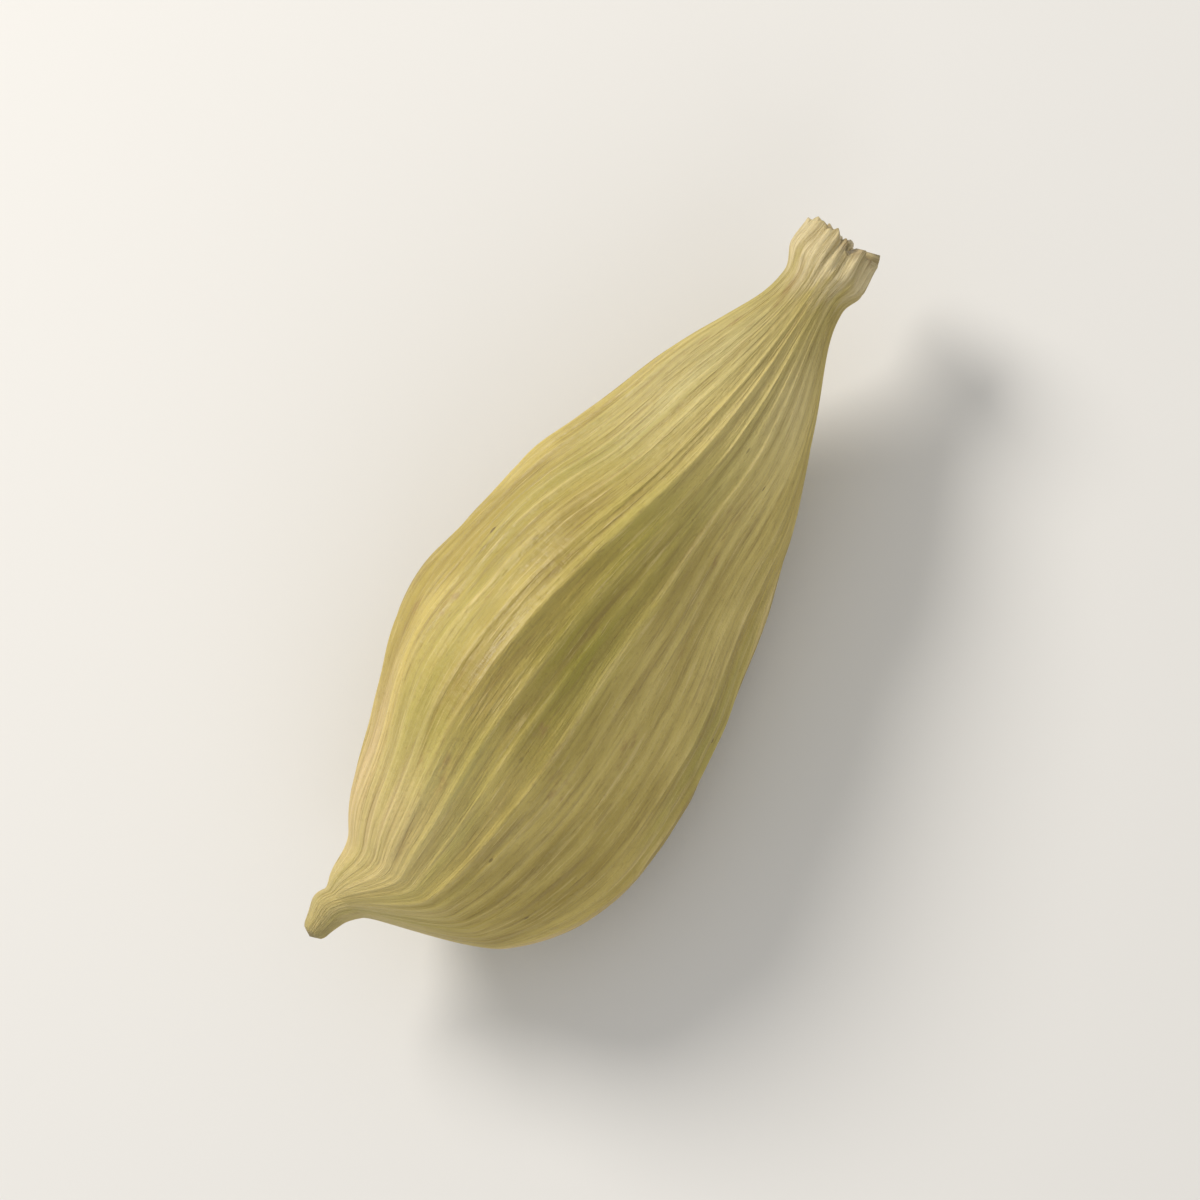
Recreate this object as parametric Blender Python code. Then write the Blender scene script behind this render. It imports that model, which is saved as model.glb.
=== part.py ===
"""A dried green cardamom pod, lying on one of its three sides.

Metres, +Z up. The long axis runs along X, with the beak towards +X. The pod lies on a small
flat spot of its lower face, and the origin is on that surface, below the middle of the pod.

The skin is a grid. Its rows are stations along the pod, from 0 at the base tip to 1 at the
mouth of the beak. Its columns follow the ribs: each rib is a column with lower ones beside it.
"""

import math
import random

import bmesh
import bpy

# Driving dimensions.
POD_LENGTH = 0.01407
KEEL_REACH = 0.00306
FACE_REACH = 0.00240
SIDEWAYS_STRETCH = 1.075
FLAT_SPOT_DEPTH = 0.00020

# The outline along the pod, as shares of its length or of its widest section.
WIDEST_AT = 0.38
BEAK_SIDE_SPAN = 0.551
BEAK_SIDE_POWER = 1.62
BASE_SIDE_SPAN = 0.330
BASE_SIDE_POWER = 0.70
NECK_SHARE = 0.173
NECK_RISES = (0.38, 0.78)
COLLAR_SHARE = 0.215
COLLAR_FROM = 0.920
COLLAR_TO = 0.958
RIM_CLOSING = 0.50
TIP_SHARES = (0.065, 0.125)
TIP_WIDENS_BY = 0.055
TIP_DOME_SHARE = 0.2
END_FILLET_POWER = 2.5

# The section: three-sided in the middle of the pod, and rounder towards both ends.
CORNER_POWER = 7
FACE_BULGE = 0.78
BEAK_ROUNDS = (0.62, 0.88)
BASE_ROUNDS = (0.24, 0.08)
BASE_ROUNDNESS = 0.6

# The foot of the stalk stands aside, at one corner of a blunt base: how far sideways and up, and
# the stations between which it joins the body. The body leans and is bent in two places: each
# bend's station, its spread, and how far it moves the section sideways and up.
TIP_ASIDE = (0.00095, 0.00025)
TIP_JOINS = (0.03, 0.12)
LEAN = 0.00080
BASE_BEND = (0.18, 0.10, -0.00014, 0.0)
BODY_BEND = (0.50, 0.17, 0.00026, 0.0)
BEAK_LIFT = 0.00020
TWIST_DEGREES = 38.0

# Ribs, keels and the seeds that show through the skin.
RIBS = 36
RIBS_A_FACE = RIBS // 3
COLUMNS_A_RIB = 3
RIB_HEIGHT = 0.000045
CREST_SHARE = 0.45
CREST_WIDTH = 0.16
RIB_UNEVENNESS = 0.60
RIB_WAVE = 0.25
RIB_WAVES = 2.0
RIB_WANDER_DEGREES = 1.8
RIB_SWAY_DEGREES = 1.5
RIB_SWAYS = 0.9
RIBS_RISE = (0.02, 0.16)
RIBS_SINK = (0.80, 0.94)
RIB_LEFT_AT_BEAK = 0.25
KEEL_HEIGHTS = (0.00002, 0.00010, 0.00006)
KEELS_RISE = (0.38, 0.62)
FURROW_DEPTH = 0.00008
FURROW_WIDTH_DEGREES = 15.0
SEED_BULGE = 0.000050
SEED_ROWS = 4.5
SEED_ROW_SHIFT = 2.1
SEED_ROW_STAGGER = 0.8
BULGES_RISE = (0.05, 0.30)
BULGES_SINK = (0.60, 0.88)
LOPSIDED_HEIGHT = 0.00005
LOPSIDED_WAVES = ((2, 11.0, 0.0), (1, -7.0, 2.0))

# A soft hollow beside the top keel: its depth, its place and its spread, as degrees and stations.
HOLLOW_DEPTH = 0.00012
HOLLOW_DEGREES = 107.0
HOLLOW_STATION = 0.46
HOLLOW_SPREAD = (14.0, 0.16)

# The hollow stub of the flower tube.
MOUTH_WALL_SHARE = 0.38
MOUTH_DEPTH = 0.00050
MOUTH_FLOOR_SHARE = 0.75
MOUTH_RAGGEDNESS = 0.00005
MOUTH_TEARS = ((1, 2.2, 0.8), (3, 0.7, 0.7), (7, 2.0, 0.6))
CRUMPLE_HEIGHT = 0.000035
CRUMPLE_LOBES = ((3, 1.0, 1.0), (5, 2.6, 0.8), (8, 0.3, 0.5))

STATIONS = 48
ROW_CROWDING = 0.08
SEED = 11
MERGE_DISTANCE = 0.000001

HUSK_COLOUR = (0.43, 0.37, 0.15, 1.0)
HUSK_ROUGHNESS = 0.62

COLUMNS = RIBS * COLUMNS_A_RIB
TOP_KEEL_DEGREES = 90.0
THIRD_TURN = 120.0


def clear_scene():
    for thing in list(bpy.data.objects):
        bpy.data.objects.remove(thing, do_unlink=True)


def smooth_step(low, high, value):
    share = min(max((value - low) / (high - low), 0.0), 1.0)
    return share * share * (3 - 2 * share)


def station_at(row):
    """The share of the length at this row: rows lie closer together towards both ends."""
    even = row / (STATIONS - 1)
    return even - ROW_CROWDING * math.sin(2 * math.pi * even)


def fillet(first, second):
    """The larger of two sizes, with a smooth change from one to the other."""
    return (first**END_FILLET_POWER + second**END_FILLET_POWER) ** (1 / END_FILLET_POWER)


def tip_share(station):
    """The size of the stalk's foot: it widens towards the body, and ends inside it."""
    widening = (TIP_SHARES[1] - TIP_SHARES[0]) * smooth_step(0.0, TIP_WIDENS_BY, station)
    return (TIP_SHARES[0] + widening) * (1 - smooth_step(TIP_WIDENS_BY, WIDEST_AT, station))


def girth_share(station):
    """The section's size at this station, as a share of the widest one."""
    if station < WIDEST_AT:
        back = min((WIDEST_AT - station) / BASE_SIDE_SPAN, 1.0)
        body = (1 - back * back) ** BASE_SIDE_POWER
        return fillet(body, tip_share(station))
    ahead = min((station - WIDEST_AT) / BEAK_SIDE_SPAN, 1.0)
    body = 1 - ahead**BEAK_SIDE_POWER
    collar = smooth_step(COLLAR_FROM, COLLAR_TO, station)
    collar -= RIM_CLOSING * smooth_step(COLLAR_TO, 1.0, station)
    neck = NECK_SHARE + (COLLAR_SHARE - NECK_SHARE) * collar
    return fillet(body, neck * smooth_step(*NECK_RISES, station))


def long_axis(station):
    """How far the middle of the section is moved sideways and up."""
    sideways = (station - WIDEST_AT) * LEAN
    up = BEAK_LIFT * max((station - WIDEST_AT) / (1 - WIDEST_AT), 0.0) ** 2
    at_tip = 1 - smooth_step(*TIP_JOINS, station)
    sideways += at_tip * TIP_ASIDE[0]
    up += at_tip * TIP_ASIDE[1]
    for middle, spread, to_side, to_top in (BASE_BEND, BODY_BEND):
        share = math.exp(-(((station - middle) / spread) ** 2))
        sideways += share * to_side
        up += share * to_top
    return sideways, up


def from_face_middle(degrees):
    """The angle to the middle of the nearest face, -60 to 60 degrees."""
    turn = (degrees - TOP_KEEL_DEGREES) % THIRD_TURN
    return turn - THIRD_TURN / 2


def section_reach(degrees, station):
    """The distance from the long axis to the smooth skin, at the widest section's size."""
    lean = math.radians(from_face_middle(degrees))
    face = FACE_REACH / math.cos(FACE_BULGE * lean)
    sided = (face**-CORNER_POWER + KEEL_REACH**-CORNER_POWER) ** (-1 / CORNER_POWER)
    rounding = smooth_step(*BEAK_ROUNDS, station)
    rounding += BASE_ROUNDNESS * smooth_step(*BASE_ROUNDS, station)
    return sided * (1 - rounding) + KEEL_REACH * rounding


def draw_ribs():
    """Each rib's own angle, height and wave, drawn once."""
    draw = random.Random(SEED)
    ribs = []
    for index in range(RIBS):
        keel, on_face = divmod(index, RIBS_A_FACE)
        on_keel = on_face == 0
        wander = 0.0 if on_keel else draw.uniform(-RIB_WANDER_DEGREES, RIB_WANDER_DEGREES)
        height = RIB_HEIGHT * (1 + RIB_UNEVENNESS * draw.uniform(-1, 1))
        ribs.append(
            {
                "degrees": TOP_KEEL_DEGREES + 360 * index / RIBS + wander,
                "height": height,
                "keel_height": KEEL_HEIGHTS[keel] if on_keel else 0.0,
                "phase": draw.uniform(0, 2 * math.pi),
            }
        )
    return ribs


def rib_degrees(rib, station):
    sway = math.sin(2 * math.pi * RIB_SWAYS * station + rib["phase"])
    return rib["degrees"] + RIB_SWAY_DEGREES * sway


def column_degrees(ribs, column, station):
    """A column's angle, between those of the two ribs beside it."""
    rib, step = divmod(column, COLUMNS_A_RIB)
    before = rib_degrees(ribs[rib], station)
    after = rib_degrees(ribs[(rib + 1) % RIBS], station)
    if rib == RIBS - 1:
        after += 360
    return before + (after - before) * step / COLUMNS_A_RIB


def rib_profile(gap):
    """A thin crest on a broad rise. The gap is counted in ribs, and the valley is at a half."""
    thin = math.exp(-((gap / CREST_WIDTH) ** 2))
    broad = (1 - 2 * gap) ** 2
    return CREST_SHARE * thin + (1 - CREST_SHARE) * broad


def rib_relief(ribs, column, station):
    """How far the nearest rib raises the skin here."""
    nearest = ribs[(column + COLUMNS_A_RIB // 2) // COLUMNS_A_RIB % RIBS]
    step = column % COLUMNS_A_RIB
    gap = min(step, COLUMNS_A_RIB - step) / COLUMNS_A_RIB
    wave = 1 + RIB_WAVE * math.sin(2 * math.pi * RIB_WAVES * station + nearest["phase"])
    sunk = (1 - RIB_LEFT_AT_BEAK) * smooth_step(*RIBS_SINK, station)
    fade = smooth_step(*RIBS_RISE, station) * (1 - sunk)
    height = nearest["height"] * wave + nearest["keel_height"] * smooth_step(*KEELS_RISE, station)
    return height * rib_profile(gap) * fade


def broad_relief(degrees, station):
    """A shallow furrow down each face, and the seeds pressing out on both sides of it."""
    lean = from_face_middle(degrees)
    middle = smooth_step(*BULGES_RISE, station) * (1 - smooth_step(*BULGES_SINK, station))
    furrow = -FURROW_DEPTH * math.exp(-((lean / FURROW_WIDTH_DEGREES) ** 2))
    face = math.floor((degrees - TOP_KEEL_DEGREES) / THIRD_TURN)
    shift = SEED_ROW_SHIFT * face + math.copysign(SEED_ROW_STAGGER, lean)
    rows = math.sin(2 * math.pi * SEED_ROWS * station + shift)
    seeds = SEED_BULGE * rows * math.sin(math.pi * abs(lean) / (THIRD_TURN / 2))
    return (furrow + seeds) * middle


def hollow(degrees, station):
    """The soft hollow beside the top keel, on its -Y side."""
    aside = (degrees - HOLLOW_DEGREES + 180) % 360 - 180
    ahead = station - HOLLOW_STATION
    spread = (aside / HOLLOW_SPREAD[0]) ** 2 + (ahead / HOLLOW_SPREAD[1]) ** 2
    return -HOLLOW_DEPTH * math.exp(-spread)


def lopsided(degrees, station):
    """Broad swellings and hollows that make the two halves of the pod differ."""
    around = math.radians(degrees)
    waves = sum(math.sin(n * around + run * station + start) for n, run, start in LOPSIDED_WAVES)
    return LOPSIDED_HEIGHT * waves * math.sin(math.pi * station) ** 2


def crumple(degrees, station):
    """The folds of the withered flower tube."""
    around = math.radians(degrees)
    folds = sum(size * math.sin(n * around + start) for n, start, size in CRUMPLE_LOBES)
    return CRUMPLE_HEIGHT * folds * smooth_step(COLLAR_FROM, 1.0, station)


def torn_off(column, station):
    """How far the torn flower tube is drawn back along X: most at its rim."""
    around = 2 * math.pi * column / COLUMNS
    tears = sum(size * (1 + math.sin(n * around + start)) for n, start, size in MOUTH_TEARS)
    return MOUTH_RAGGEDNESS * tears * smooth_step(COLLAR_FROM, 1.0, station)


def skin_point(ribs, column, station):
    degrees = column_degrees(ribs, column, station)
    girth = girth_share(station)
    reach = section_reach(degrees, station) * girth
    reach += rib_relief(ribs, column, station) * math.sqrt(girth)
    reach += broad_relief(degrees, station) + hollow(degrees, station)
    reach += lopsided(degrees, station) + crumple(degrees, station)
    turned = math.radians(degrees + TWIST_DEGREES * (station - WIDEST_AT))
    sideways, up = long_axis(station)
    return (
        station * POD_LENGTH - torn_off(column, station),
        sideways + reach * math.cos(turned) * SIDEWAYS_STRETCH,
        up + reach * math.sin(turned),
    )


def add_ring(bm, points):
    return [bm.verts.new(point) for point in points]


def join_rings(bm, first, second):
    """Closes the band between two rings, facing out where the second lies further along X."""
    for column, start in enumerate(first):
        after = (column + 1) % len(first)
        bm.faces.new((start, first[after], second[after], second[column]))


def close_end(bm, ring, centre, towards_beak):
    middle = bm.verts.new(centre)
    for column, start in enumerate(ring):
        end = ring[(column + 1) % len(ring)]
        bm.faces.new((start, end, middle) if towards_beak else (end, start, middle))


def ring_middle(points):
    return [sum(values) / len(points) for values in zip(*points)]


def shrunk(points, share, forward):
    """The ring drawn in towards its middle and moved along X."""
    middle = ring_middle(points)
    moved = []
    for point in points:
        x, y, z = (m + share * (value - m) for m, value in zip(middle, point))
        moved.append((x + forward, y, z))
    return moved


def build_skin(bm):
    ribs = draw_ribs()
    rows = []
    for row in range(STATIONS):
        station = station_at(row)
        rows.append([skin_point(ribs, column, station) for column in range(COLUMNS)])

    rings = [add_ring(bm, points) for points in rows]
    for first, second in zip(rings, rings[1:]):
        join_rings(bm, first, second)

    tip = ring_middle(rows[0])
    dome = TIP_DOME_SHARE * TIP_SHARES[0] * KEEL_REACH
    close_end(bm, rings[0], (tip[0] - dome, tip[1], tip[2]), towards_beak=False)
    build_mouth(bm, rows[-1], rings[-1])


def build_mouth(bm, rim_points, rim_ring):
    """The hollow inside the flower tube: a narrow wall, a pit and its floor."""
    inner_share = 1 - MOUTH_WALL_SHARE
    lip = add_ring(bm, shrunk(rim_points, inner_share, -MOUTH_RAGGEDNESS / 2))
    floor_points = shrunk(rim_points, inner_share * MOUTH_FLOOR_SHARE, -MOUTH_DEPTH)
    floor = add_ring(bm, floor_points)
    join_rings(bm, rim_ring, lip)
    join_rings(bm, lip, floor)
    close_end(bm, floor, ring_middle(floor_points), towards_beak=True)


def lay_down(bm):
    """Puts the pod on the surface, cuts its flat spot and centres it over the origin."""
    lowest = min(vertex.co.z for vertex in bm.verts)
    for vertex in bm.verts:
        vertex.co.z -= lowest + FLAT_SPOT_DEPTH
    everything = bm.verts[:] + bm.edges[:] + bm.faces[:]
    bmesh.ops.bisect_plane(
        bm,
        geom=everything,
        dist=MERGE_DISTANCE,
        plane_co=(0, 0, 0),
        plane_no=(0, 0, 1),
        clear_inner=True,
    )
    for vertex in bm.verts:
        vertex.co.z = max(vertex.co.z, 0.0)
    open_edges = [edge for edge in bm.edges if edge.is_boundary]
    bmesh.ops.contextual_create(bm, geom=open_edges)
    for axis in (0, 1):
        values = [vertex.co[axis] for vertex in bm.verts]
        middle = (min(values) + max(values)) / 2
        for vertex in bm.verts:
            vertex.co[axis] -= middle


def husk_material():
    material = bpy.data.materials.new("husk")
    material.use_nodes = True
    shader = material.node_tree.nodes["Principled BSDF"]
    shader.inputs["Base Color"].default_value = HUSK_COLOUR
    shader.inputs["Roughness"].default_value = HUSK_ROUGHNESS
    shader.inputs["Metallic"].default_value = 0.0
    return material


def build_pod():
    mesh = bpy.data.meshes.new("cardamom_pod")
    bm = bmesh.new()
    build_skin(bm)
    lay_down(bm)
    bmesh.ops.triangulate(bm, faces=bm.faces[:])
    bm.to_mesh(mesh)
    bm.free()
    mesh.shade_smooth()
    mesh.materials.append(husk_material())
    pod = bpy.data.objects.new("cardamom_pod", mesh)
    bpy.context.scene.collection.objects.link(pod)


clear_scene()
build_pod()
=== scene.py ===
"""Looks of a dried green cardamom pod: its ribbed, papery husk, a pale floor and soft light.

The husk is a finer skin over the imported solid. Its rows are stations along the pod, from 0 at
the base tip to 1 at the mouth of the beak. Its columns follow the ribs, counted in ribs.
"""

import math
import random

import bpy
import numpy as np
from mathutils import Matrix, Vector, noise


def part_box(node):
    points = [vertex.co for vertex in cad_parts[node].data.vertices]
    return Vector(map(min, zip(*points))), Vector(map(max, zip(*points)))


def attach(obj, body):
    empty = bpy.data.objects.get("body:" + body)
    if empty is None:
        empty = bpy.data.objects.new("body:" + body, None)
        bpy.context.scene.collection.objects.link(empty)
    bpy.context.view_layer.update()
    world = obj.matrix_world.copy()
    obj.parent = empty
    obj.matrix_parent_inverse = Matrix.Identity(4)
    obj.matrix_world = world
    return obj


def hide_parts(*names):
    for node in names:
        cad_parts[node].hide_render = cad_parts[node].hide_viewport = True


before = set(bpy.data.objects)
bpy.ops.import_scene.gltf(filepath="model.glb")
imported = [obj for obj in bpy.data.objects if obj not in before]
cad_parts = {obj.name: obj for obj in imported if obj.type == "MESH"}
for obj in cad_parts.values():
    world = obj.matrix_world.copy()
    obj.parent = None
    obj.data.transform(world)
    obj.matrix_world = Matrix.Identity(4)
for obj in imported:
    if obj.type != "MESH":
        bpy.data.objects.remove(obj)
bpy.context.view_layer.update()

NODE = "cardamom_pod"
MM = 0.001

# The form, as in the solid. The tip is the foot of the stalk, and it stands aside, at one corner
# of a blunt base. A bend is its station, its spread, and how far it moves the section sideways
# and up.
POD_LENGTH = 14.07 * MM
KEEL_REACH = 3.06 * MM
FACE_REACH = 2.40 * MM
SIDEWAYS_STRETCH = 1.075
WIDEST_AT = 0.38
BEAK_SIDE_SPAN = 0.551
BEAK_SIDE_POWER = 1.62
BASE_SIDE_SPAN = 0.330
BASE_SIDE_POWER = 0.70
NECK_SHARE = 0.173
NECK_RISES = (0.38, 0.78)
COLLAR_SHARE = 0.215
COLLAR_FROM = 0.920
COLLAR_TO = 0.958
RIM_CLOSING = 0.50
TIP_SHARES = (0.065, 0.125)
TIP_WIDENS_BY = 0.055
TIP_DOME_SHARE = 0.2
END_FILLET_POWER = 2.5
CORNER_POWER = 7
FACE_BULGE = 0.78
BEAK_ROUNDS = (0.62, 0.88)
BASE_ROUNDS = (0.24, 0.08)
BASE_ROUNDNESS = 0.6
LEAN = 0.80 * MM
TIP_ASIDE = (0.95 * MM, 0.25 * MM)
TIP_JOINS = (0.03, 0.12)
BASE_BEND = (0.18, 0.10, -0.14 * MM, 0.0)
BODY_BEND = (0.50, 0.17, 0.26 * MM, 0.0)
BEAK_LIFT = 0.20 * MM
TWIST_DEGREES = 38.0
KEELS = 3
TOP_KEEL_DEGREES = 90.0
THIRD_TURN = 360.0 / KEELS

# Ribs, keels and the seeds that show through the skin, as in the solid. A lopsided wave is its
# count around the pod, its run along the pod, and its start. A lobe, and below a tear and a
# notch, is its count around the mouth, its start, and its size.
RIBS = 36
RIBS_A_FACE = RIBS // KEELS
RIB_HEIGHT = 0.045 * MM
CREST_SHARE = 0.45
CREST_WIDTH = 0.16
RIB_UNEVENNESS = 0.60
RIB_WAVE = 0.25
RIB_WAVES = 2.0
RIB_WANDER_DEGREES = 1.8
RIB_SWAY_DEGREES = 1.5
RIB_SWAYS = 0.9
RIBS_RISE = (0.02, 0.16)
RIBS_SINK = (0.80, 0.94)
RIB_LEFT_AT_BEAK = 0.25
KEEL_HEIGHTS = (0.02 * MM, 0.10 * MM, 0.06 * MM)
KEELS_RISE = (0.38, 0.62)
FURROW_DEPTH = 0.08 * MM
FURROW_WIDTH_DEGREES = 15.0
SEED_BULGE = 0.050 * MM
SEED_ROWS = 4.5
SEED_ROW_SHIFT = 2.1
SEED_ROW_STAGGER = 0.8
BULGES_RISE = (0.05, 0.30)
BULGES_SINK = (0.60, 0.88)
LOPSIDED_HEIGHT = 0.05 * MM
LOPSIDED_WAVES = ((2, 11.0, 0.0), (1, -7.0, 2.0))
HOLLOW_DEPTH = 0.12 * MM
HOLLOW_MIDDLE = (107.0, 0.46)
HOLLOW_SPREAD = (14.0, 0.16)
CRUMPLE_HEIGHT = 0.035 * MM
CRUMPLE_LOBES = ((3, 1.0, 1.0), (5, 2.6, 0.8), (8, 0.3, 0.5))
SEED = 11

# What only the fine skin has. A grain is how many cells of a random pattern go to a millimetre,
# twice across the pod and once along it.
COLUMNS_A_RIB = 10
ROWS = 262
ROW_CROWDING = 0.05
THREADS_A_RIB = 3
THREAD_HEIGHT = 0.010 * MM
THREAD_SWAY = 1.5
THREAD_SWAYS = 1.4
KEEL_PALENESS = (0.05, 1.0, 1.0)
KEEL_EDGE_WIDTH = 0.80
MOST_CREST = 1.3
CREST_SHARPNESS = 3
VALLEY_SHARPNESS = 4
TOP_KEEL_WEAR = 0.75
TOP_KEEL_WEAR_WIDTH = 1.6
HOLLOW_WEAR = 0.6
PUCKER_HEIGHT = 0.050 * MM
PUCKER_GRAIN = (0.9, 0.9, 0.45)
CRINKLE_HEIGHT = 0.022 * MM
CRINKLE_GRAIN = (2.8, 2.8, 1.6)
FINE_CRUMPLE_LOBES = ((17, 0.9, 0.45), (26, 2.2, 0.35))
STALK_ROUNDING = 0.55
STALK_ROUNDED_TO = 0.010
MOUTH_WALL_SHARE = 0.38
MOUTH_FLOOR_SHARE = 0.75
MOUTH_DEPTH = 0.50 * MM
MOUTH_RAGGEDNESS = 0.05 * MM
MOUTH_TEARS = ((1, 2.2, 0.8), (3, 0.7, 0.7), (7, 2.0, 0.6))
MOUTH_NOTCHES = ((8, 1.1, 2.2), (13, 0.2, 1.8), (23, 2.4, 1.2))
NOTCH_POWER = 3

# Colours of the skin.
OLIVE = (0.36, 0.275, 0.053, 1.0)
STRAW = (0.54, 0.43, 0.119, 1.0)
GREEN = (0.33, 0.305, 0.058, 1.0)
BROWN = (0.22, 0.145, 0.040, 1.0)
CREAM = (0.66, 0.53, 0.235, 1.0)
BLUSH = (0.70, 0.53, 0.29, 1.0)
DARK = (0.085, 0.050, 0.018, 1.0)
STAIN = (0.29, 0.175, 0.060, 1.0)
SCAR = (0.21, 0.135, 0.060, 1.0)
TUBE = (0.68, 0.57, 0.32, 1.0)
TUBE_SHADED = (0.47, 0.37, 0.17, 1.0)
INSIDE = (0.12, 0.08, 0.035, 1.0)
MOSS_AND_PAINTED_SHADE = (0.275, 0.24, 0.018, 1.0)
LEAF_AND_PAINTED_SHADE = (0.36, 0.305, 0.04, 1.0)
UMBER = (0.33, 0.225, 0.045, 1.0)
PALE_GREEN = (0.53, 0.48, 0.235, 1.0)
LIGHT_STRAW = (0.68, 0.56, 0.20, 1.0)
PALE_STRAW = (0.74, 0.62, 0.28, 1.0)

# The random textures of the skin: each one's grain, its detail and its roughness.
TEXTURES = {
    "blotches": ((0.55, 0.55, 0.32), 3.0, 0.60),
    "greens": ((0.42, 0.42, 0.20), 2.0, 0.50),
    "streaks": ((2.4, 2.4, 0.16), 3.0, 0.55),
    "patch_streaks": ((2.2, 2.2, 0.35), 3.0, 0.60),
    "breaks": ((1.6, 1.6, 0.5), 4.0, 0.70),
    "keel_wear": ((1.5, 1.5, 0.6), 3.0, 0.60),
    "end_wear": ((1.1, 1.1, 0.5), 3.0, 0.60),
    "stains": ((0.9, 0.9, 0.5), 5.0, 0.70),
    "fibres": ((6.0, 6.0, 0.45), 4.0, 0.62),
    "threads": ((15.0, 15.0, 0.8), 3.0, 0.65),
    "cells": ((17.0, 17.0, 9.0), 2.0, 0.60),
    "wrinkles": ((3.0, 3.0, 6.0), 3.0, 0.60),
}

# Layers of colour, from the lowest up: the colour, what it follows, the two values of that
# between which it changes, and its share of the skin at each.
SKIN_LAYERS = (
    (STRAW, "blotches", (0.36, 0.66), (0.0, 1.0)),
    (GREEN, "greens", (0.46, 0.66), (0.0, 0.60)),
    (STRAW, "streaks", (0.52, 0.72), (0.0, 0.55)),
    # Paler straw towards the beak: partly the pod's own colour, partly painted light on the
    # beak's half.
    (STRAW, "along", (0.60, 0.86), (0.0, 0.60)),
    (BROWN, "streaks", (0.44, 0.27), (0.0, 0.30)),
)
FIBRE_LAYERS = (
    (BROWN, "fibres", (0.52, 0.26), (0.0, 0.45)),
    (BROWN, "threads", (0.47, 0.27), (0.0, 0.50)),
    (CREAM, "threads", (0.56, 0.74), (0.0, 0.50)),
    (BROWN, "cells", (0.45, 0.20), (0.0, 0.35)),
)
STAIN_LAYERS = ((STAIN, "stains", (0.60, 0.70), (0.0, 0.60)),)

# How the ribs, the keels and both ends are broken up: two values of a texture, or two stations
# along the pod, and the share at each. For END_UNEVENNESS it is a shift of the station instead.
PATCH_UNEVENNESS = ((0.32, 0.60), (0.60, 1.0))
VALLEY_BREAKS = ((0.65, 0.35), (0.06, 0.33))
CREST_BREAKS = ((0.36, 0.62), (0.03, 0.44))
KEEL_BREAKS = ((0.30, 0.60), (0.45, 1.0))
KEEL_BLUSH = ((0.36, 0.12), (0.15, 0.80))
# The cream on the keels of the beak's half is partly the keels' own pale colour and partly a
# painted highlight on keels that lie in shade.
KEEL_CREAM_AND_PAINTED_HIGHLIGHT = ((0.44, 0.62), (0.0, 0.85))
END_UNEVENNESS = ((0.3, 0.7), (-0.03, 0.03))
STALK_FIBRES = ((0.34, 0.60), (0.0, 1.0))
STALK_COVERS = ((0.15, 0.02), (0.0, 0.75))
SCAR_COVERS = ((0.004, 0.001), (0.0, 0.20))
TUBE_FIBRES = ((0.32, 0.58), (0.0, 1.0))
TUBE_STAINS = ((0.52, 0.36), (0.0, 0.35))
TUBE_COVERS = ((0.90, 0.965), (0.0, 0.95))
RIM_COVERS = ((0.995, 1.02), (0.0, 0.55))

# Two sizes of specks: each one's grain, and how far a speck reaches in its cell. Each cell draws
# three numbers: above the threshold it has a speck, and the others set its size and strength.
SPECKS = (((1.3, 1.3, 0.8), 0.10), ((3.1, 3.1, 1.7), 0.14))
SPECK_THRESHOLD = (0.72, 0.74)
SPECK_GROWTH = (0.1, 1.0)
SMALLEST_SPECK = 0.3
SPECK_EDGE = 0.4
SPECK_STRENGTHS = (0.15, 0.75)

# The finest relief, the roughness as two values of the fibres and what it is at each, the gloss,
# and the light that passes through the skin.
FIBRE_DEPTH = 0.045 * MM
RELIEF_SHARES = {"wrinkles": 0.50, "threads": 0.55, "cells": 0.22}
SKIN_ROUGHNESS = ((0.3, 0.7), (0.40, 0.62))
SKIN_SPECULAR = 0.45
GLOW_WEIGHT = 0.08
GLOW_RADIUS = (1.0, 0.75, 0.3)
GLOW_SCALE = 0.12 * MM

# Soft patches of other colours, some of them painted light or painted shade: each one's colour
# and share, its middle as degrees and station, and its spread in both.
PATCHES = {
    # Moss and leaf are greener patches below the top ridge: partly the skin's own colour, partly
    # painted shade on the ridge's shaded side and in the hollow under it.
    "moss_and_painted_shade": (MOSS_AND_PAINTED_SHADE, 0.95, (110.0, 0.43), (13.0, 0.12)),
    "leaf_and_painted_shade": (LEAF_AND_PAINTED_SHADE, 0.80, (96.0, 0.60), (16.0, 0.08)),
    "umber": (UMBER, 0.65, (90.0, 0.34), (17.0, 0.06)),
    "dull_top": (OLIVE, 0.65, (66.0, 0.48), (20.0, 0.08)),
    "pale_base": (BLUSH, 0.60, (75.0, 0.15), (30.0, 0.08)),
    "base_edge": (BLUSH, 0.85, (34.0, 0.17), (20.0, 0.12)),
    # Painted light: brightens the lower face in the middle of the pod, which the lights leave in
    # shade.
    "low_straw_painted_light": (LIGHT_STRAW, 0.50, (148.0, 0.47), (26.0, 0.13)),
    "beak_top": (PALE_GREEN, 0.65, (50.0, 0.78), (45.0, 0.14)),
    # Painted light: brightens the beak's lower face, which faces away from the key light.
    "beak_low_painted_light": (LIGHT_STRAW, 0.85, (135.0, 0.72), (30.0, 0.12)),
    # Painted highlight: a pale rim of light along the lower edge.
    "low_edge_painted_highlight": (LIGHT_STRAW, 0.45, (170.0, 0.58), (10.0, 0.16)),
    # Painted light: brightens the beak's side below the ridge, which lies in shade.
    "beak_side_painted_light": (PALE_STRAW, 0.90, (126.0, 0.80), (30.0, 0.07)),
}

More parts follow.
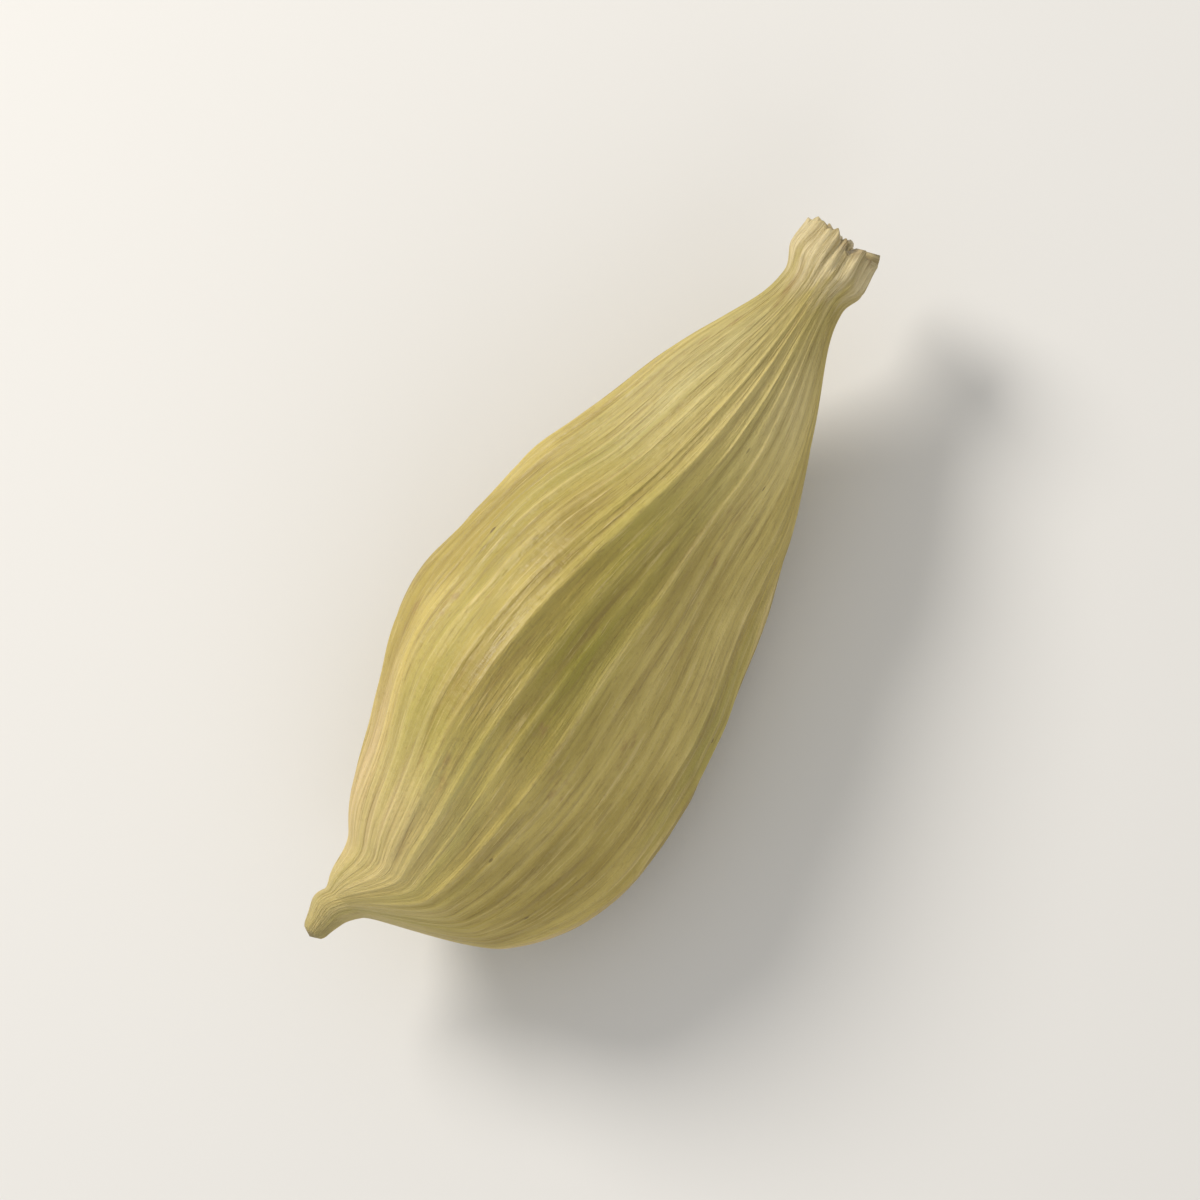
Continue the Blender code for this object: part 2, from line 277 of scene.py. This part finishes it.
# The floor and the lights: each light's place, size, power and tint.
FLOOR_SIZE = 2.0
FLOOR_COLOUR = (0.70, 0.69, 0.67, 1.0)
FLOOR_ROUGHNESS = 0.9
LIGHTS = {
    "key": ((8 * MM, 86 * MM, 75 * MM), 50 * MM, 0.115, (1.0, 0.96, 0.90)),
    "fill": ((-60 * MM, -90 * MM, 70 * MM), 90 * MM, 0.03, (0.97, 0.98, 1.0)),
}
LIGHTS_AIM = (0.0, 0.0, 2 * MM)
SKY_COLOUR = (1.0, 0.99, 0.97, 1.0)
SKY_STRENGTH = 0.55

# The view.
IMAGE_TURN_DEGREES = 53.0
VIEW_ELEVATION_DEGREES = 75.0
LENS_MM = 250.0
SENSOR_MM = 36.0
VIEW_WIDTH = 19.0 * MM


def smooth_step(low, high, value):
    share = np.clip((value - low) / (high - low), 0.0, 1.0)
    return share * share * (3 - 2 * share)


def fillet(first, second):
    """The larger of two sizes, with a smooth change from one to the other."""
    return (first**END_FILLET_POWER + second**END_FILLET_POWER) ** (1 / END_FILLET_POWER)


def tip_share(station):
    """The size of the stalk's foot: it widens towards the body, and ends inside it."""
    widening = (TIP_SHARES[1] - TIP_SHARES[0]) * smooth_step(0.0, TIP_WIDENS_BY, station)
    return (TIP_SHARES[0] + widening) * (1 - smooth_step(TIP_WIDENS_BY, WIDEST_AT, station))


def girth_share(station):
    """The section's size at each station, as a share of the widest one."""
    back = np.clip((WIDEST_AT - station) / BASE_SIDE_SPAN, 0.0, 1.0)
    base_body = np.maximum(1 - back * back, 0.0) ** BASE_SIDE_POWER
    base = fillet(base_body, tip_share(station))
    ahead = np.clip((station - WIDEST_AT) / BEAK_SIDE_SPAN, 0.0, 1.0)
    beak_body = 1 - ahead**BEAK_SIDE_POWER
    collar = smooth_step(COLLAR_FROM, COLLAR_TO, station)
    collar -= RIM_CLOSING * smooth_step(COLLAR_TO, 1.0, station)
    neck = NECK_SHARE + (COLLAR_SHARE - NECK_SHARE) * collar
    neck *= smooth_step(*NECK_RISES, station)
    return np.where(station < WIDEST_AT, base, fillet(beak_body, neck))


def long_axis(station):
    """How far the middle of the section is moved sideways and up."""
    sideways = (station - WIDEST_AT) * LEAN
    up = BEAK_LIFT * np.maximum((station - WIDEST_AT) / (1 - WIDEST_AT), 0.0) ** 2
    at_tip = 1 - smooth_step(*TIP_JOINS, station)
    sideways = sideways + at_tip * TIP_ASIDE[0]
    up = up + at_tip * TIP_ASIDE[1]
    for middle, spread, to_side, to_top in (BASE_BEND, BODY_BEND):
        share = np.exp(-(((station - middle) / spread) ** 2))
        sideways = sideways + share * to_side
        up = up + share * to_top
    return sideways, up


def from_face_middle(degrees):
    """The angle to the middle of the nearest face, -60 to 60 degrees."""
    return (degrees - TOP_KEEL_DEGREES) % THIRD_TURN - THIRD_TURN / 2


def section_reach(degrees, station):
    """The distance from the long axis to the smooth skin, at the widest section's size."""
    face = FACE_REACH / np.cos(FACE_BULGE * np.radians(from_face_middle(degrees)))
    sided = (face**-CORNER_POWER + KEEL_REACH**-CORNER_POWER) ** (-1 / CORNER_POWER)
    rounding = smooth_step(*BEAK_ROUNDS, station)
    rounding = rounding + BASE_ROUNDNESS * smooth_step(*BASE_ROUNDS, station)
    return sided * (1 - rounding) + KEEL_REACH * rounding


def draw_ribs():
    """The ribs' angles, heights and waves, drawn in the solid's order."""
    draw = random.Random(SEED)
    degrees, heights, phases = [], [], []
    for index in range(RIBS):
        on_keel = index % RIBS_A_FACE == 0
        wander = 0.0 if on_keel else draw.uniform(-RIB_WANDER_DEGREES, RIB_WANDER_DEGREES)
        height = RIB_HEIGHT * (1 + RIB_UNEVENNESS * draw.uniform(-1, 1))
        degrees.append(TOP_KEEL_DEGREES + 360 * index / RIBS + wander)
        heights.append(height)
        phases.append(draw.uniform(0, 2 * math.pi))
    return np.array(degrees), np.array(heights), np.array(phases)


def rib_profile(gap):
    """A thin crest on a broad rise. The gap is counted in ribs, and the valley is at a half."""
    thin = np.exp(-((gap / CREST_WIDTH) ** 2))
    broad = (1 - 2 * gap) ** 2
    return CREST_SHARE * thin + (1 - CREST_SHARE) * broad


def rib_fade(station):
    sunk = (1 - RIB_LEFT_AT_BEAK) * smooth_step(*RIBS_SINK, station)
    return smooth_step(*RIBS_RISE, station) * (1 - sunk)


def rib_relief(ribs, rib_place, station):
    """The height that the ribs add, how near each point is to a crest, and the rib's strength."""
    _, heights, phases = ribs
    nearest = np.round(rib_place).astype(int)
    profile = rib_profile(np.abs(rib_place - nearest))
    wave = 1 + RIB_WAVE * np.sin(2 * math.pi * RIB_WAVES * station + phases[nearest % RIBS])
    keel_height = np.array(KEEL_HEIGHTS)[nearest // RIBS_A_FACE % KEELS]
    keel_height = np.where(nearest % RIBS_A_FACE == 0, keel_height, 0.0)
    own_height = heights[nearest % RIBS] * wave + keel_height * smooth_step(*KEELS_RISE, station)
    return own_height * profile * rib_fade(station), profile, own_height / RIB_HEIGHT


def thread_relief(rib_place, station):
    """The finer threads between the ribs."""
    sway = THREAD_SWAY * np.sin(2 * math.pi * THREAD_SWAYS * station)
    ripple = np.cos(2 * math.pi * THREADS_A_RIB * rib_place + sway)
    return THREAD_HEIGHT * ripple * rib_fade(station)


def broad_relief(degrees, station):
    """A shallow furrow down each face, and the seeds pressing out on both sides of it."""
    lean = from_face_middle(degrees)
    middle = smooth_step(*BULGES_RISE, station) * (1 - smooth_step(*BULGES_SINK, station))
    furrow = -FURROW_DEPTH * np.exp(-((lean / FURROW_WIDTH_DEGREES) ** 2))
    face = np.floor((degrees - TOP_KEEL_DEGREES) / THIRD_TURN)
    shift = SEED_ROW_SHIFT * face + np.copysign(SEED_ROW_STAGGER, lean)
    rows = np.sin(2 * math.pi * SEED_ROWS * station + shift)
    seeds = SEED_BULGE * rows * np.sin(math.pi * np.abs(lean) / (THIRD_TURN / 2))
    return (furrow + seeds) * middle


def spot_share(degrees, station, middle, spread):
    """1 in the middle of a spot on the skin, and 0 well away from it."""
    aside = (degrees - middle[0] + 180) % 360 - 180
    ahead = station - middle[1]
    return np.exp(-((aside / spread[0]) ** 2) - (ahead / spread[1]) ** 2)


def lopsided(degrees, station):
    """Broad swellings and hollows that make the two halves of the pod differ."""
    around = np.radians(degrees)
    waves = sum(np.sin(n * around + run * station + start) for n, run, start in LOPSIDED_WAVES)
    return LOPSIDED_HEIGHT * waves * np.sin(math.pi * station) ** 2


def crumple(degrees, station, lobes):
    """The folds of the withered flower tube."""
    around = np.radians(degrees)
    folds = sum(size * np.sin(n * around + start) for n, start, size in lobes)
    return CRUMPLE_HEIGHT * folds * smooth_step(COLLAR_FROM, 1.0, station)


def torn_off(rib_place, station):
    """How far the torn flower tube is drawn back along X: most at its rim."""
    around = 2 * math.pi * rib_place / RIBS
    tears = sum(size * (1 + np.sin(n * around + start)) for n, start, size in MOUTH_TEARS)
    for n, start, size in MOUTH_NOTCHES:
        tears = tears + size * (0.5 + 0.5 * np.sin(n * around + start)) ** NOTCH_POWER
    return MOUTH_RAGGEDNESS * tears * smooth_step(COLLAR_FROM, 1.0, station)


def column_degrees(ribs, rib_place, station):
    """A point's angle, between those of the two ribs beside it."""
    own_degrees, _, phases = ribs
    before = np.floor(rib_place).astype(int)
    angles = []
    for rib in (before, before + 1):
        sway = np.sin(2 * math.pi * RIB_SWAYS * station + phases[rib % RIBS])
        angles.append(own_degrees[rib % RIBS] + 360 * (rib // RIBS) + RIB_SWAY_DEGREES * sway)
    return angles[0] + (angles[1] - angles[0]) * (rib_place - before)


def grain_place(turned, station):
    """A point on a straight round rod of the pod's size, in millimetres, with no seam."""
    rod = 0.5 * (KEEL_REACH + FACE_REACH) / MM
    return np.stack(
        [rod * np.cos(turned), rod * np.sin(turned), station * POD_LENGTH / MM], axis=-1
    )


def rounded_stalk(station):
    """The foot of the stalk closes in roundly towards its end."""
    to_edge = np.clip(1 - station / STALK_ROUNDED_TO, 0.0, 1.0)
    return 1 - STALK_ROUNDING * (1 - np.sqrt(1 - to_edge**2))


def dents(grain, stretch, height):
    """Shallow dents and swellings where the skin has dried."""
    places = (grain * np.array(stretch)).reshape(-1, 3)
    values = [noise.noise(Vector(place)) for place in places]
    return height * np.array(values).reshape(grain.shape[:-1])


def skin_grid():
    """Points of the skin, rows by columns, and what the material reads at each of them."""
    ribs = draw_ribs()
    columns = RIBS * COLUMNS_A_RIB
    even = np.arange(ROWS) / (ROWS - 1)
    stations = even - ROW_CROWDING * np.sin(2 * math.pi * even)
    rib_line = np.arange(columns) / COLUMNS_A_RIB
    station, rib_place = np.meshgrid(stations, rib_line, indexing="ij")

    degrees = column_degrees(ribs, rib_place, station)
    girth = girth_share(station)
    relief, profile, strength = rib_relief(ribs, rib_place, station)
    relief += thread_relief(rib_place, station)
    grain = grain_place(np.radians(degrees), station)
    reach = section_reach(degrees, station) * girth * rounded_stalk(station)
    reach += relief * np.sqrt(girth)
    hollow = spot_share(degrees, station, HOLLOW_MIDDLE, HOLLOW_SPREAD)
    reach += broad_relief(degrees, station) - HOLLOW_DEPTH * hollow
    reach += lopsided(degrees, station)
    reach += crumple(degrees, station, CRUMPLE_LOBES + FINE_CRUMPLE_LOBES)
    reach += dents(grain, PUCKER_GRAIN, PUCKER_HEIGHT) * girth
    reach += dents(grain, CRINKLE_GRAIN, CRINKLE_HEIGHT) * np.sqrt(girth)

    turned = np.radians(degrees + TWIST_DEGREES * (station - WIDEST_AT))
    sideways, up = long_axis(station)
    points = np.stack(
        [
            station * POD_LENGTH - torn_off(rib_place, station),
            sideways + reach * np.cos(turned) * SIDEWAYS_STRETCH,
            up + reach * np.sin(turned),
        ],
        axis=-1,
    )
    keel = np.round(rib_place / RIBS_A_FACE)
    paleness = np.array(KEEL_PALENESS)[keel.astype(int) % KEELS]
    off_keel = (rib_place - keel * RIBS_A_FACE) / KEEL_EDGE_WIDTH
    off_top = (rib_place + RIBS / 2) % RIBS - RIBS / 2
    worn = TOP_KEEL_WEAR * np.exp(-((off_top / TOP_KEEL_WEAR_WIDTH) ** 2))
    worn = np.maximum(worn, HOLLOW_WEAR * hollow)
    marks = {
        "grain": grain,
        "crest": profile**CREST_SHARPNESS * np.minimum(strength, MOST_CREST) * (1 - worn),
        "valley": (1 - profile) ** VALLEY_SHARPNESS,
        "keel": paleness * np.exp(-(off_keel**2)),
        "along": station,
    }
    for name, (_, share, middle, spread) in PATCHES.items():
        marks[name] = share * spot_share(degrees, station, middle, spread)
    return points, marks


def drawn_in(ring, share, forward):
    """The ring drawn in towards its middle and moved along X."""
    middle = ring.mean(axis=0)
    return middle + share * (ring - middle) + np.array([forward, 0.0, 0.0])


def grid_faces(rows, columns):
    """Quads between neighbouring rows, closed around."""
    row, column = np.meshgrid(np.arange(rows - 1), np.arange(columns), indexing="ij")
    after = (column + 1) % columns
    corners = [
        row * columns + column,
        row * columns + after,
        (row + 1) * columns + after,
        (row + 1) * columns + column,
    ]
    return np.stack(corners, axis=-1).reshape(-1, 4).tolist()


def end_fan(first, columns, middle, towards_beak):
    faces = []
    for column in range(columns):
        start = first + column
        end = first + (column + 1) % columns
        faces.append((start, end, middle) if towards_beak else (end, start, middle))
    return faces


def lay_on_solid(points):
    """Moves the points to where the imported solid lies, and flattens what rests."""
    low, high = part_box(NODE)
    for axis in (0, 1):
        middle = (points[:, axis].min() + points[:, axis].max()) / 2
        points[:, axis] += (low[axis] + high[axis]) / 2 - middle
    points[:, 2] += high[2] - points[:, 2].max()
    points[:, 2] = np.maximum(points[:, 2], low[2])
    return points


def build_husk():
    points, marks = skin_grid()
    columns = points.shape[1]
    rim = points[-1]
    inner = 1 - MOUTH_WALL_SHARE
    lip = drawn_in(rim, inner, -MOUTH_RAGGEDNESS / 2)
    floor = drawn_in(rim, inner * MOUTH_FLOOR_SHARE, -MOUTH_DEPTH)
    rings = np.concatenate([points[:-1], rim[None], lip[None], floor[None]])
    rows = len(rings)

    dome = TIP_DOME_SHARE * TIP_SHARES[0] * KEEL_REACH
    tip = rings[0].mean(axis=0) - np.array([dome, 0.0, 0.0])
    every_point = np.concatenate([rings.reshape(-1, 3), tip[None], floor.mean(axis=0)[None]])
    tip_index = rows * columns
    faces = grid_faces(rows, columns)
    faces += end_fan(0, columns, tip_index, towards_beak=False)
    faces += end_fan((rows - 1) * columns, columns, tip_index + 1, towards_beak=True)

    mesh = bpy.data.meshes.new("husk")
    mesh.from_pydata(lay_on_solid(every_point).tolist(), [], faces)
    mesh.shade_smooth()
    for name, values in marks.items():
        add_mark(mesh, name, values)
    pit = np.zeros(len(every_point))
    pit[(rows - 1) * columns:] = 1.0
    pit[tip_index] = 0.0
    add_values(mesh, "pit", "FLOAT", pit)

    husk = bpy.data.objects.new("husk", mesh)
    bpy.context.scene.collection.objects.link(husk)
    husk.data.materials.append(husk_material())
    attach(husk, "root")
    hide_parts(NODE)


def add_values(mesh, name, kind, values):
    attribute = mesh.attributes.new(name, kind, "POINT")
    attribute.data.foreach_set("vector" if kind == "FLOAT_VECTOR" else "value", values.ravel())


def add_mark(mesh, name, grid):
    """Stores a grid of values on the skin. The mouth and both end points repeat the end rows."""
    rows = [grid, grid[-1:], grid[-1:]]
    flat = np.concatenate(rows).reshape((-1,) + grid.shape[2:])
    ends = np.stack([grid[0, 0], grid[-1, 0]])
    values = np.concatenate([flat, ends])
    add_values(mesh, name, "FLOAT_VECTOR" if grid.ndim == 3 else "FLOAT", values)


class Shading:
    """Short calls to add and join the nodes of one material."""

    def __init__(self, name):
        self.material = bpy.data.materials.new(name)
        self.material.use_nodes = True
        self.tree = self.material.node_tree
        self.shader = self.tree.nodes["Principled BSDF"]

    def node(self, kind, **settings):
        made = self.tree.nodes.new(kind)
        for name, value in settings.items():
            setattr(made, name, value)
        return made

    def feed(self, socket, value):
        if isinstance(value, bpy.types.NodeSocket):
            self.tree.links.new(value, socket)
        else:
            socket.default_value = value

    def mark(self, name):
        """A value stored on the skin."""
        attribute = self.node("ShaderNodeAttribute", attribute_name=name)
        return attribute.outputs["Vector" if name == "grain" else "Fac"]

    def math(self, operation, first, second=0.0):
        made = self.node("ShaderNodeMath", operation=operation)
        self.feed(made.inputs[0], first)
        self.feed(made.inputs[1], second)
        return made.outputs[0]

    def scaled(self, vector, scale):
        made = self.node("ShaderNodeVectorMath", operation="MULTIPLY")
        self.feed(made.inputs[0], vector)
        self.feed(made.inputs[1], scale)
        return made.outputs[0]

    def texture(self, grain, name):
        """One of the random textures, from 0 to 1."""
        stretch, detail, roughness = TEXTURES[name]
        made = self.node("ShaderNodeTexNoise")
        self.feed(made.inputs["Vector"], self.scaled(grain, stretch))
        self.feed(made.inputs["Scale"], 1.0)
        self.feed(made.inputs["Detail"], detail)
        self.feed(made.inputs["Roughness"], roughness)
        return made.outputs["Fac"]

    def ramp(self, value, values, shares=(0.0, 1.0)):
        """A smooth change between the two shares as the value goes between the two values."""
        made = self.node("ShaderNodeMapRange", interpolation_type="SMOOTHSTEP")
        for index, number in enumerate((value, *values, *shares)):
            self.feed(made.inputs[index], number)
        return made.outputs[0]

    def layer(self, below, above, share):
        """Colour above over colour below, by a share."""
        made = self.node("ShaderNodeMix", data_type="RGBA")
        self.feed(made.inputs["Factor"], share)
        self.feed(made.inputs["A"], below)
        self.feed(made.inputs["B"], above)
        return made.outputs["Result"]


def add_layers(s, skin, textures, layers):
    for colour, follows, values, shares in layers:
        skin = s.layer(skin, colour, s.ramp(textures[follows], values, shares))
    return skin


def add_patches(s, skin, textures):
    """Broad soft patches, streaked along the fibres. Some of them are painted light or painted
    shade.
    """
    uneven = s.ramp(textures["patch_streaks"], *PATCH_UNEVENNESS)
    for name, (colour, *_) in PATCHES.items():
        skin = s.layer(skin, colour, s.math("MULTIPLY", s.mark(name), uneven))
    return skin


def add_ribs(s, skin, textures):
    """Brown valleys, fibres of three widths, and pale broken lines on the crests."""
    breaks = textures["breaks"]
    valley = s.math("MULTIPLY", s.mark("valley"), s.ramp(breaks, *VALLEY_BREAKS))
    crest = s.math("MULTIPLY", s.mark("crest"), s.ramp(breaks, *CREST_BREAKS))
    skin = s.layer(skin, BROWN, valley)
    skin = add_layers(s, skin, textures, FIBRE_LAYERS)
    return s.layer(skin, CREAM, crest)


def add_keels(s, skin, textures):
    """The keels are pinkish cream towards the base, and pale cream on the beak's half; that cream
    is partly their own colour and partly a painted highlight on keels that lie in shade.
    """
    along = textures["along"]
    keel = s.math("MULTIPLY", s.mark("keel"), s.ramp(textures["keel_wear"], *KEEL_BREAKS))
    skin = s.layer(skin, BLUSH, s.math("MULTIPLY", keel, s.ramp(along, *KEEL_BLUSH)))
    return s.layer(skin, CREAM, s.math("MULTIPLY", keel, s.ramp(along, *KEEL_CREAM_AND_PAINTED_HIGHLIGHT)))


def add_specks(s, skin, grain, stretch, reach):
    """Sparse brown specks, a little longer than wide, in some cells of a random pattern."""
    cells = s.node("ShaderNodeTexVoronoi")
    cells.inputs["Scale"].default_value = 1.0
    s.feed(cells.inputs["Vector"], s.scaled(grain, stretch))
    drawn = s.node("ShaderNodeSeparateColor")
    s.feed(drawn.inputs["Color"], cells.outputs["Color"])
    present = s.ramp(drawn.outputs["Red"], SPECK_THRESHOLD)
    size = s.ramp(drawn.outputs["Green"], SPECK_GROWTH, (SMALLEST_SPECK * reach, reach))
    inside = s.math("SUBTRACT", size, cells.outputs["Distance"])
    dot = s.math("MULTIPLY", present, s.ramp(inside, (0.0, SPECK_EDGE * reach)))
    strength = s.ramp(drawn.outputs["Blue"], (0.0, 1.0), SPECK_STRENGTHS)
    return s.layer(skin, DARK, s.math("MULTIPLY", dot, strength))


def add_ends(s, skin, textures):
    """The pale base with its brown scar, the cream flower tube, and its dark inside."""
    along = textures["along"]
    wear = textures["end_wear"]
    fibres = textures["fibres"]
    uneven = s.math("ADD", along, s.ramp(wear, *END_UNEVENNESS))
    stalk = s.layer(LIGHT_STRAW, CREAM, s.ramp(fibres, *STALK_FIBRES))
    skin = s.layer(skin, stalk, s.ramp(uneven, *STALK_COVERS))
    skin = s.layer(skin, SCAR, s.ramp(along, *SCAR_COVERS))
    tube = s.layer(TUBE_SHADED, TUBE, s.ramp(fibres, *TUBE_FIBRES))
    tube = s.layer(tube, BROWN, s.ramp(wear, *TUBE_STAINS))
    skin = s.layer(skin, tube, s.ramp(uneven, *TUBE_COVERS))
    skin = s.layer(skin, SCAR, s.ramp(uneven, *RIM_COVERS))
    return s.layer(skin, INSIDE, s.mark("pit"))


def fine_relief(s, textures):
    """Fibres and threads along the pod, the skin's cells, and slight wrinkles across the pod."""
    height = textures["fibres"]
    for name, share in RELIEF_SHARES.items():
        height = s.math("ADD", height, s.math("MULTIPLY", textures[name], share))
    bump = s.node("ShaderNodeBump")
    bump.inputs["Strength"].default_value = 1.0
    bump.inputs["Distance"].default_value = FIBRE_DEPTH
    s.feed(bump.inputs["Height"], height)
    return bump.outputs["Normal"]


def husk_material():
    s = Shading("husk")
    grain = s.mark("grain")
    textures = {name: s.texture(grain, name) for name in TEXTURES}
    textures["along"] = s.mark("along")
    skin = add_layers(s, OLIVE, textures, SKIN_LAYERS)
    skin = add_patches(s, skin, textures)
    skin = add_ribs(s, skin, textures)
    skin = add_keels(s, skin, textures)
    skin = add_layers(s, skin, textures, STAIN_LAYERS)
    for stretch, reach in SPECKS:
        skin = add_specks(s, skin, grain, stretch, reach)
    skin = add_ends(s, skin, textures)
    s.feed(s.shader.inputs["Base Color"], skin)
    s.feed(s.shader.inputs["Roughness"], s.ramp(textures["fibres"], *SKIN_ROUGHNESS))
    s.feed(s.shader.inputs["Normal"], fine_relief(s, textures))
    s.shader.inputs["Specular IOR Level"].default_value = SKIN_SPECULAR
    s.shader.inputs["Subsurface Weight"].default_value = GLOW_WEIGHT
    s.shader.inputs["Subsurface Radius"].default_value = GLOW_RADIUS
    s.shader.inputs["Subsurface Scale"].default_value = GLOW_SCALE
    return s.material


def build_floor():
    bpy.ops.mesh.primitive_plane_add(size=FLOOR_SIZE, location=(0, 0, 0))
    floor = bpy.context.object
    floor.name = "floor"
    s = Shading("floor")
    s.shader.inputs["Base Color"].default_value = FLOOR_COLOUR
    s.shader.inputs["Roughness"].default_value = FLOOR_ROUGHNESS
    floor.data.materials.append(s.material)


def aim(thing, target):
    thing.rotation_mode = "QUATERNION"
    thing.rotation_quaternion = (Vector(target) - thing.location).to_track_quat("-Z", "Y")


def add_light(name, place, size, power, tint):
    data = bpy.data.lights.new(name, "AREA")
    data.shape = "DISK"
    data.size = size
    data.energy = power
    data.color = tint
    light = bpy.data.objects.new(name, data)
    bpy.context.scene.collection.objects.link(light)
    light.location = place
    aim(light, LIGHTS_AIM)


def build_lights():
    for name, (place, size, power, tint) in LIGHTS.items():
        add_light(name, place, size, power, tint)
    world = bpy.data.worlds.new("studio")
    world.use_nodes = True
    background = world.node_tree.nodes["Background"]
    background.inputs["Color"].default_value = SKY_COLOUR
    background.inputs["Strength"].default_value = SKY_STRENGTH
    bpy.context.scene.world = world
    bpy.context.scene.view_settings.view_transform = "Standard"


def build_camera():
    """Looks down on the pod from its -Y side, turned so that the beak points up and right."""
    lift = math.radians(VIEW_ELEVATION_DEGREES)
    turn = math.radians(IMAGE_TURN_DEGREES)
    back = Vector((0.0, -math.cos(lift), math.sin(lift)))
    along = Vector((1.0, 0.0, 0.0))
    across = back.cross(along)
    right = along * math.cos(turn) - across * math.sin(turn)
    up = along * math.sin(turn) + across * math.cos(turn)
    low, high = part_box(NODE)
    middle = (Vector(low) + Vector(high)) / 2
    distance = VIEW_WIDTH * LENS_MM / SENSOR_MM

    data = bpy.data.cameras.new("camera")
    data.lens = LENS_MM
    data.sensor_width = SENSOR_MM
    data.clip_start = 0.1 * distance
    data.clip_end = 100 * distance
    camera = bpy.data.objects.new("camera", data)
    bpy.context.scene.collection.objects.link(camera)
    axes = Matrix((right, up, back)).transposed().to_4x4()
    camera.matrix_world = Matrix.Translation(middle + back * distance) @ axes
    bpy.context.scene.camera = camera


build_camera()
build_husk()
build_floor()
build_lights()
